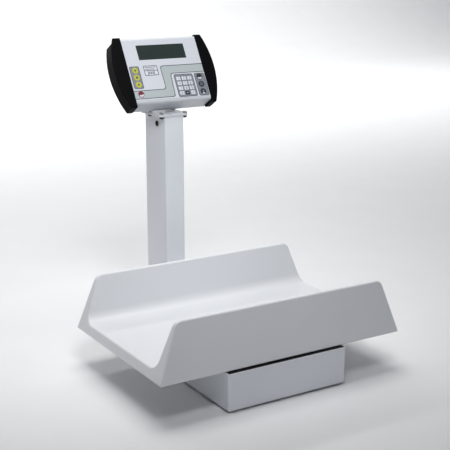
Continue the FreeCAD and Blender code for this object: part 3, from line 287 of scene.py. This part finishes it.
def prism(name, outline, low, high, axis):
    """An outline padded along X or Y: its points are (y, z) or (x, z)."""
    bm = bmesh.new()
    ends = []
    for at in (low, high):
        ends.append([bm.verts.new((at, a, b) if axis == "X" else (a, at, b)) for a, b in outline])
    bm.faces.new(ends[0])
    bm.faces.new(list(reversed(ends[1])))
    count = len(outline)
    for n in range(count):
        after = (n + 1) % count
        bm.faces.new((ends[0][after], ends[0][n], ends[1][n], ends[1][after]))
    bmesh.ops.recalc_face_normals(bm, faces=bm.faces)
    return mesh_object(name, bm)


def rounded_corner(before, corner, after, radius, steps=8):
    """Points of an arc that rounds one corner of an outline."""
    corner = Vector(corner)
    a = (Vector(before) - corner).normalized()
    b = (Vector(after) - corner).normalized()
    half = a.angle(b) / 2
    reach = radius / math.tan(half)
    centre = corner + (a + b).normalized() * (radius / math.sin(half))
    start, end = corner + a * reach - centre, corner + b * reach - centre
    turn = start.angle_signed(end)
    return [tuple(centre + Matrix.Rotation(-turn * n / steps, 2) @ start) for n in range(steps + 1)]


def rounded_outline(points, radii, steps=8):
    """An outline whose corners are rounded, each by its own radius; 0 keeps a corner sharp."""
    result = []
    for n, point in enumerate(points):
        if radii[n]:
            result += rounded_corner(points[n - 1], point, points[(n + 1) % len(points)], radii[n], steps)
        else:
            result.append(point)
    return result


# ---------------------------------------------------------------------------------------------------
# Tray
# ---------------------------------------------------------------------------------------------------
def build_tray():
    """The moulded trough: a U-shaped section, cut by sloping ends with rounded upper corners."""
    low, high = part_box("tray")
    mid_y, deep = (low.y + high.y) / 2, (high.y - low.y) / 2
    bottom, top, long = low.z, high.z, high.x
    top_long, top_deep = 256 * MM, 184.25 * MM
    rim, foot, floor, skin = 9 * MM, 38 * MM, 22 * MM, 4.5 * MM
    half = [(deep, bottom), (top_deep, top), (top_deep - rim, top), (deep - foot, bottom + floor)]
    radii = [0, 0, 0, 26 * MM]
    whole = half + [(-y, z) for y, z in reversed(half)]
    section = rounded_outline(whole, radii + radii[::-1], 14)
    section = [(y + mid_y, z) for y, z in section]
    side = rounded_outline([(long, bottom), (top_long, top), (-top_long, top), (-long, bottom)],
                           [0, 18 * MM, 18 * MM, 0], 10)
    body = prism("tray_body", section, -long, long, "X")
    combine(body, prism("tray_side", side, low.y - 0.01, high.y + 0.01, "Y"), "INTERSECT")
    tidy_faces(body)
    bevel(body, 3.6 * MM, 5, 28)
    core_top = top - 23 * MM
    lean = (deep - top_deep) / (top - bottom)
    inner_lean = (top_deep - rim - (deep - foot)) / (top - bottom - floor)
    half = [(deep - skin, bottom - 0.001), (deep - skin - lean * (core_top - bottom), core_top),
            (deep - foot + skin + inner_lean * (core_top - bottom - floor), core_top),
            (deep - foot + skin, bottom + floor - skin)]
    core = prism("tray_core", [(y + mid_y, z) for y, z in half + [(-y, z) for y, z in reversed(half)]],
                 -long, long, "X")
    inset = 1.2 * skin
    ends = [(long - inset, bottom - 0.002), (top_long - inset, top),
            (inset - top_long, top), (inset - long, bottom - 0.002)]
    combine(core, prism("tray_core_side", ends, low.y - 0.01, high.y + 0.01, "Y"), "INTERSECT")
    combine(body, core, "DIFFERENCE")
    body.name = "tray_shell"
    smooth(body)
    dress(body, "tray_plastic", "weighing", "tray")


# ---------------------------------------------------------------------------------------------------
# Head: what is printed on the panel. Places are millimetres across (s) and up (t) the panel.
# ---------------------------------------------------------------------------------------------------
PANEL_LEAN = math.radians(30)
PANEL_FOOT = Vector((0, 170.5, 573.3))


def on_panel(s, t, depth):
    """A place on the panel, at a depth in millimetres behind its face, in metres."""
    up = Vector((0, math.sin(PANEL_LEAN), math.cos(PANEL_LEAN)))
    back = Vector((0, math.cos(PANEL_LEAN), -math.sin(PANEL_LEAN)))
    return (PANEL_FOOT + Vector((s, 0, 0)) + up * t + back * depth) * MM


def flat(name, finish, outlines, lift, body="head", face=0.0, thick=0.12):
    """Thin flat shapes that lie on the panel, or on a key whose face is proud of it."""
    bm = bmesh.new()
    for outline in outlines:
        front = [bm.verts.new(on_panel(s, t, face - lift)) for s, t in outline]
        back = [bm.verts.new(on_panel(s, t, face + thick)) for s, t in outline]
        bm.faces.new(front)
        bm.faces.new(back[::-1])
        for n in range(len(front)):
            after = (n + 1) % len(front)
            bm.faces.new((front[after], front[n], back[n], back[after]))
    bmesh.ops.recalc_face_normals(bm, faces=bm.faces)
    return dress(mesh_object(name, bm), finish, body)


def box_outline(left, low, right, high, radius=0.0):
    points = [(left, low), (right, low), (right, high), (left, high)]
    return rounded_outline(points, [radius] * 4, 6)


def ring_outline(s, t, inner, outer, start, end, steps=14):
    """Part of a ring, between two angles in degrees."""
    angles = [math.radians(start + (end - start) * n / steps) for n in range(steps + 1)]
    return ([(s + outer * math.cos(a), t + outer * math.sin(a)) for a in angles]
            + [(s + inner * math.cos(a), t + inner * math.sin(a)) for a in reversed(angles)])


BARS = {"a": (0, 2, 1, 2), "b": (1, 1, 1, 2), "c": (1, 0, 1, 1), "d": (0, 0, 1, 0), "e": (0, 0, 0, 1),
        "f": (0, 1, 0, 2), "g": (0, 1, 1, 1)}
DIGITS = {"0": "abcdef", "1": "bc", "2": "abged", "3": "abgcd", "4": "fgbc", "5": "afgcd", "6": "afgedc",
          "7": "abc", "8": "abcdefg", "9": "abcdfg"}


def digit(mark, s, t, tall, stroke, gap=0.0):
    """A digit made of straight bars, round the middle (s, t)."""
    wide, half = tall * 0.5, stroke / 2
    shapes = []
    for bar in DIGITS[mark]:
        x0, y0, x1, y1 = BARS[bar]
        left, right = s + (x0 - 0.5) * wide, s + (x1 - 0.5) * wide
        low, high = t + (y0 - 1) * tall / 2, t + (y1 - 1) * tall / 2
        if x0 == x1:
            shapes.append(box_outline(left - half, low + gap + half * 0.2, right + half, high - gap - half * 0.2))
        else:
            shapes.append(box_outline(left + gap + half * 1.1, low - half, right - gap - half * 1.1, high + half))
    return shapes


WINDOW_FACE = 0.2                       # behind the panel's face, in mm
LAYER = 0.01                            # each printed layer stands this much above the last, in mm


def build_panel_prints():
    edge = 98.4
    band = [(edge, 87.2), (-15.5, 87.2), (-15.0, 28.6), (-edge, 28.6), (-edge, 6.9), (5.8, 6.9), (8.6, 65.3),
            (edge, 65.3)]
    turns = [0, 7, 6, 0, 0, 6, 6, 0]
    flat("band_line", "line_print", [rounded_outline(band, turns)], LAYER)
    line = 1.7
    inner = [(edge, 87.2 - line), (-15.5 + line, 87.2 - line), (-15.0 + line, 28.6 - line), (-edge, 28.6 - line),
             (-edge, 6.9 + line), (5.8 - line, 6.9 + line), (8.6 - line, 65.3 + line), (edge, 65.3 + line)]
    flat("band_field", "band_print", [rounded_outline(inner, [0, 6.3, 6.6, 0, 0, 5.3, 6.6, 0])], 2 * LAYER)
    flat("field_gaps", "pale_print", [box_outline(11.5, 3.2, 67.6, 64.6, 5.5)], 3 * LAYER)
    fields = [(14.0, 4.6, 65.4, 62.8, 4.5), (-95.6, 32.6, -70.2, 89.0, 4.0), (69.2, 4.6, 97.4, 62.8, 5.0)]
    flat("field_lines", "line_print", [box_outline(*field) for field in fields], 4 * LAYER)
    edging = 1.4
    flat("fields", "grey_print", [box_outline(left + edging, low + edging, right - edging, high - edging, turn - edging)
                                  for left, low, right, high, turn in fields], 5 * LAYER)
    flat("label_line", "line_print", [box_outline(-58.8, 64.0, -23.0, 89.0, 1.5)], LAYER)
    cells = [(-57.2, 77.4, -24.6, 87.4), (-57.2, 65.6, -50.4, 75.8), (-49.0, 65.6, -34.0, 75.8),
             (-32.6, 65.6, -24.6, 75.8)]
    flat("label_field", "pale_print", [box_outline(*cell, 0.8) for cell in cells], 2 * LAYER)
    rows = [box_outline(-55.5, 83.6, -27.0, 85.6), box_outline(-55.5, 79.0, -31.0, 81.0)]
    rows += [box_outline(-47.8 + 4.7 * n, 67.4, -44.4 + 4.7 * n, 74.0) for n in range(3)]
    flat("label_rows", "grey_print", rows, 3 * LAYER)
    places, pitch = 6, 18.4
    ghosts = [shape for n in range(places) for shape in digit("8", -47 + n * pitch, 122.5, 21, 2.1, 0.35)]
    flat("display_segments", "segment_print", ghosts, 2 * LAYER, face=WINDOW_FACE, thick=0.05)


KEY_FACE = -0.6                         # proud of the panel's face, in mm
MARK_THICK = 0.02
LEFT_KEYS, RIGHT_KEYS = -82, 82.5
PAD_S, PAD_T = (24.7, 39.5, 54.3), (14.4, 26.8, 39.2, 51.6)


def build_key_marks():
    """Digits and plain signs on the keys, which ride with them."""
    def mark(key, finish, shapes):
        flat(key + "_mark", finish, shapes, 3 * LAYER, key + "_body", KEY_FACE, MARK_THICK)

    for n, t in enumerate((43.0, 60.6, 78.2), start=1):
        way = (1, 1, -1)[n - 1]
        mark(f"key_yellow_{n}", "line_print",
             [[(-85.2, t - 2.0 * way), (-78.8, t - 2.0 * way), (-82, t + 3.4 * way)]] if n != 2
             else [box_outline(-84.6, t - 2.6, -79.4, t + 2.6, 1.0)])
    mark("key_red", "pale_print", [ring_outline(LEFT_KEYS, 19, 2.6, 6.4, 205, 350)])
    mark("key_dark_3", "pale_print", [ring_outline(RIGHT_KEYS, 53.4, 3.0, 6.6, 205, 335)])
    mark("key_dark_2", "grey_print",
         [ring_outline(RIGHT_KEYS, 34.2, 2.6, 4.0, 40, 320), box_outline(82.6, 33.5, 86.2, 34.9)])
    mark("key_dark_1", "pale_print",
         [ring_outline(RIGHT_KEYS, 15, 3.4, 6.6, 235, 305), [(80.6, 14.6), (84.4, 14.6), (RIGHT_KEYS, 18)]])
    faces = {(4, 1): "1", (4, 2): "2", (4, 3): "3", (3, 1): "4", (3, 2): "5", (3, 3): "6", (2, 1): "7",
             (2, 2): "8", (2, 3): "9", (1, 1): "0"}
    for (row, column), face in faces.items():
        mark(f"key_pad_{row}_{column}", "line_print",
             digit(face, PAD_S[column - 1], PAD_T[row - 1], 5.4, 0.9))
    mark("key_pad_1_2", "pale_print", [box_outline(37.4, 13.7, 41.6, 15.1, 0.6)])
    mark("key_pad_1_3", "line_print", [box_outline(50.8, 13.8, 57.8, 15.0, 0.5)])


# ---------------------------------------------------------------------------------------------------
# CAD pieces that keep their shape, with softened edges
# ---------------------------------------------------------------------------------------------------
def soften(node, finish, body, width, segments):
    """A copy of a CAD piece whose sharp edges are rounded by a width in millimetres."""
    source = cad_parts[node]
    item = bpy.data.objects.new(node + "_piece", source.data.copy())
    bpy.context.scene.collection.objects.link(item)
    tidy_faces(item)
    bevel(item, width * MM, segments)
    smooth(item)
    return dress(item, finish, body, node)


SOFTENED = {
    "base_cover": ("white_enamel", "stand", 1.2, 3),
    "base_plate": ("zinc_steel", "stand", 0.3, 1),
    "rear_beam": ("white_enamel", "stand", 1.0, 3),
    "beam_plug": ("black_plastic", "stand", 0.6, 2),
    "rear_bar": ("white_enamel", "stand", 0.5, 2),
    "column": ("white_enamel", "stand", 0.5, 2),
    "cable_grommet": ("black_rubber", "stand", 0.4, 2),
    "top_plate": ("bracket_steel", "stand", 1.1, 3),
    "yoke": ("bracket_steel", "stand", 0.6, 2),
    "frame_bolts": ("zinc_screw", "stand", 0.4, 2),
    "pivot_bolt": ("dark_screw", "stand", 0.4, 2),
    "tilt_knob": ("black_plastic", "knob", 0.8, 2),
    "head_bracket": ("bracket_steel", "head", 0.4, 2),
    "head_bracket_screws": ("dark_screw", "head", 0.3, 2),
    "cap_screws": ("dark_screw", "head", 0.2, 1),
    "cable_gland": ("black_plastic", "head", 0.4, 2),
    "power_socket": ("black_plastic", "head", 0.5, 2),
    "head_housing": ("head_enamel", "head", 0.25, 1),
    "front_overlay": ("overlay_film", "head", 0.1, 1),
    "end_cap_left": ("cap_plastic", "head", 0.4, 2),
    "end_cap_right": ("cap_plastic", "head", 0.4, 2),
    "platform": ("zinc_steel", "weighing", 0.4, 2),
    "rubber_feet": ("black_rubber", "stand", 0.8, 2),
}
KEPT = {
    "cover_screws": "zinc_screw", "load_cell": "cell_aluminium", "lower_spacer": "cell_aluminium",
    "upper_spacer": "cell_aluminium", "lower_cell_screws": "zinc_screw", "upper_cell_screws": "zinc_screw",
    "overload_stop": "zinc_screw", "tray_bumpers": "black_rubber", "tray_screws": "zinc_screw",
    "pivot_washers": "nylon", "display_module": "module_plastic", "display_window": "display_glass",
    "main_board": "circuit_board", "key_board": "circuit_board", "board_pillars": "brass_pillar",
    "battery_pack": "battery_wrap",
}


def dress_cad():
    """Replaces the CAD pieces that get softened edges, and gives the others their materials."""
    for node, (finish, body, width, segments) in SOFTENED.items():
        soften(node, finish, body, width, segments)
    bolts = soften("bracket_bolts", "zinc_screw", "stand", 0.4, 2)
    # Painted shade: the bolts' faces below the top plate, the nuts, get the dark oxide finish for the shade under the
    # plate.
    bolts.data.materials.append(FINISH["dark_screw"])
    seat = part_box("top_plate")[0].z
    for face in bolts.data.polygons:
        face.material_index = 1 if face.center.z < seat - 0.4 * MM else 0
    for node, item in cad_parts.items():
        if node in KEPT:
            item.data.materials.clear()
            item.data.materials.append(FINISH[KEPT[node]])
        elif node.startswith("key_") and node != "key_board":
            tone = next((t for t in ("yellow", "red", "dark") if t in node), "pale")
            tone = "dark" if node == "key_pad_1_2" else tone
            soften(node, tone + "_key", node + "_body", 0.3, 2)


# ---------------------------------------------------------------------------------------------------
# Painted shade: a black strip between base and tray
# ---------------------------------------------------------------------------------------------------
def build_gap_shade_strip():
    """A thin black strip round the top of the base box, under the tray's edge: painted shade that darkens the gap
    between them.
    """
    low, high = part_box("base_cover")
    inset, wide, thick = 2.5 * MM, 40 * MM, 0.4 * MM
    x0, x1, y0, y1, z = low.x + inset, high.x - inset, low.y + inset, high.y - inset, high.z
    bm = bmesh.new()
    for left, front, right, rear in ((x0, y0, x1, y0 + wide), (x0, y1 - wide, x1, y1),
                                     (x0, y0 + wide, x0 + wide, y1 - wide), (x1 - wide, y0 + wide, x1, y1 - wide)):
        made = bmesh.ops.create_cube(bm, size=1)["verts"]
        bmesh.ops.scale(bm, vec=(right - left, rear - front, thick), verts=made)
        bmesh.ops.translate(bm, vec=((left + right) / 2, (front + rear) / 2, z + thick / 2), verts=made)
    # The black rubber finish here is painted shade for the gap, not a real seal.
    dress(mesh_object("painted_gap_shade", bm), "black_rubber", "stand")


add_camera()
FINISH = make_finishes()
add_studio()
build_tray()
dress_cad()
build_panel_prints()
build_key_marks()
build_gap_shade_strip()
